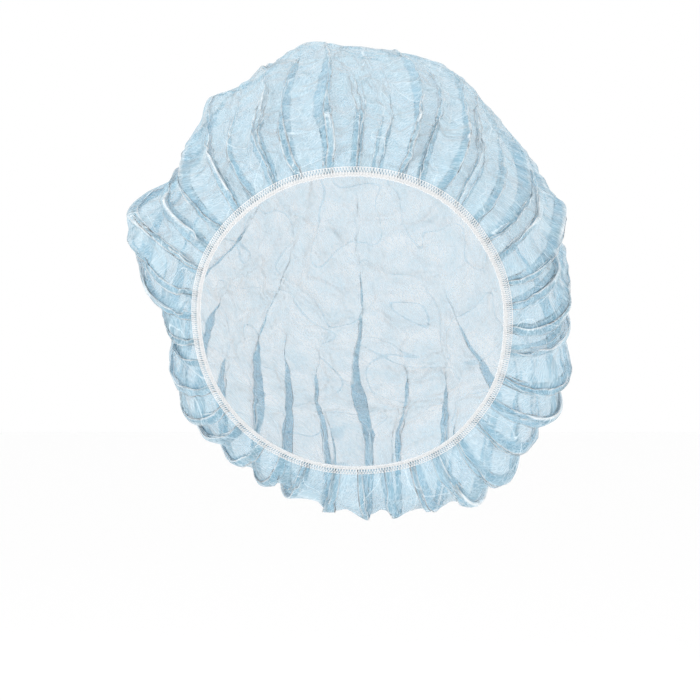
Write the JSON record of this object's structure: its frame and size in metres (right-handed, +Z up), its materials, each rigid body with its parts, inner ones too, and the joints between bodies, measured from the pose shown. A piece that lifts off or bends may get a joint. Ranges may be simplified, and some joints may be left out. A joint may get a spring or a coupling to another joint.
{
  "type": "disposable bouffant cap",
  "caption": "Round thin nonwoven bouffant cap gathered onto a white overlocked elastic, puffed and pleated as it is worn.",
  "frame": {"origin": "middle of the elastic's loop, where the cap sits round a head", "axes": "+Z up, -Y towards the forehead and the viewer, +X to the viewer's right; the loop's plane is tilted, higher at the forehead than at the nape"},
  "size_m": [0.2123, 0.2231, 0.2303],
  "materials": {
    "nonwoven_blue": "thin translucent spunbond nonwoven, pale blue, matt with a faint papery sheen",
    "elastic_white": "white knitted elastic with white overlock thread"
  },
  "bodies": {
    "root": {"crown": "nonwoven_blue", "elastic_band": "elastic_white"}
  },
  "joints": []
}
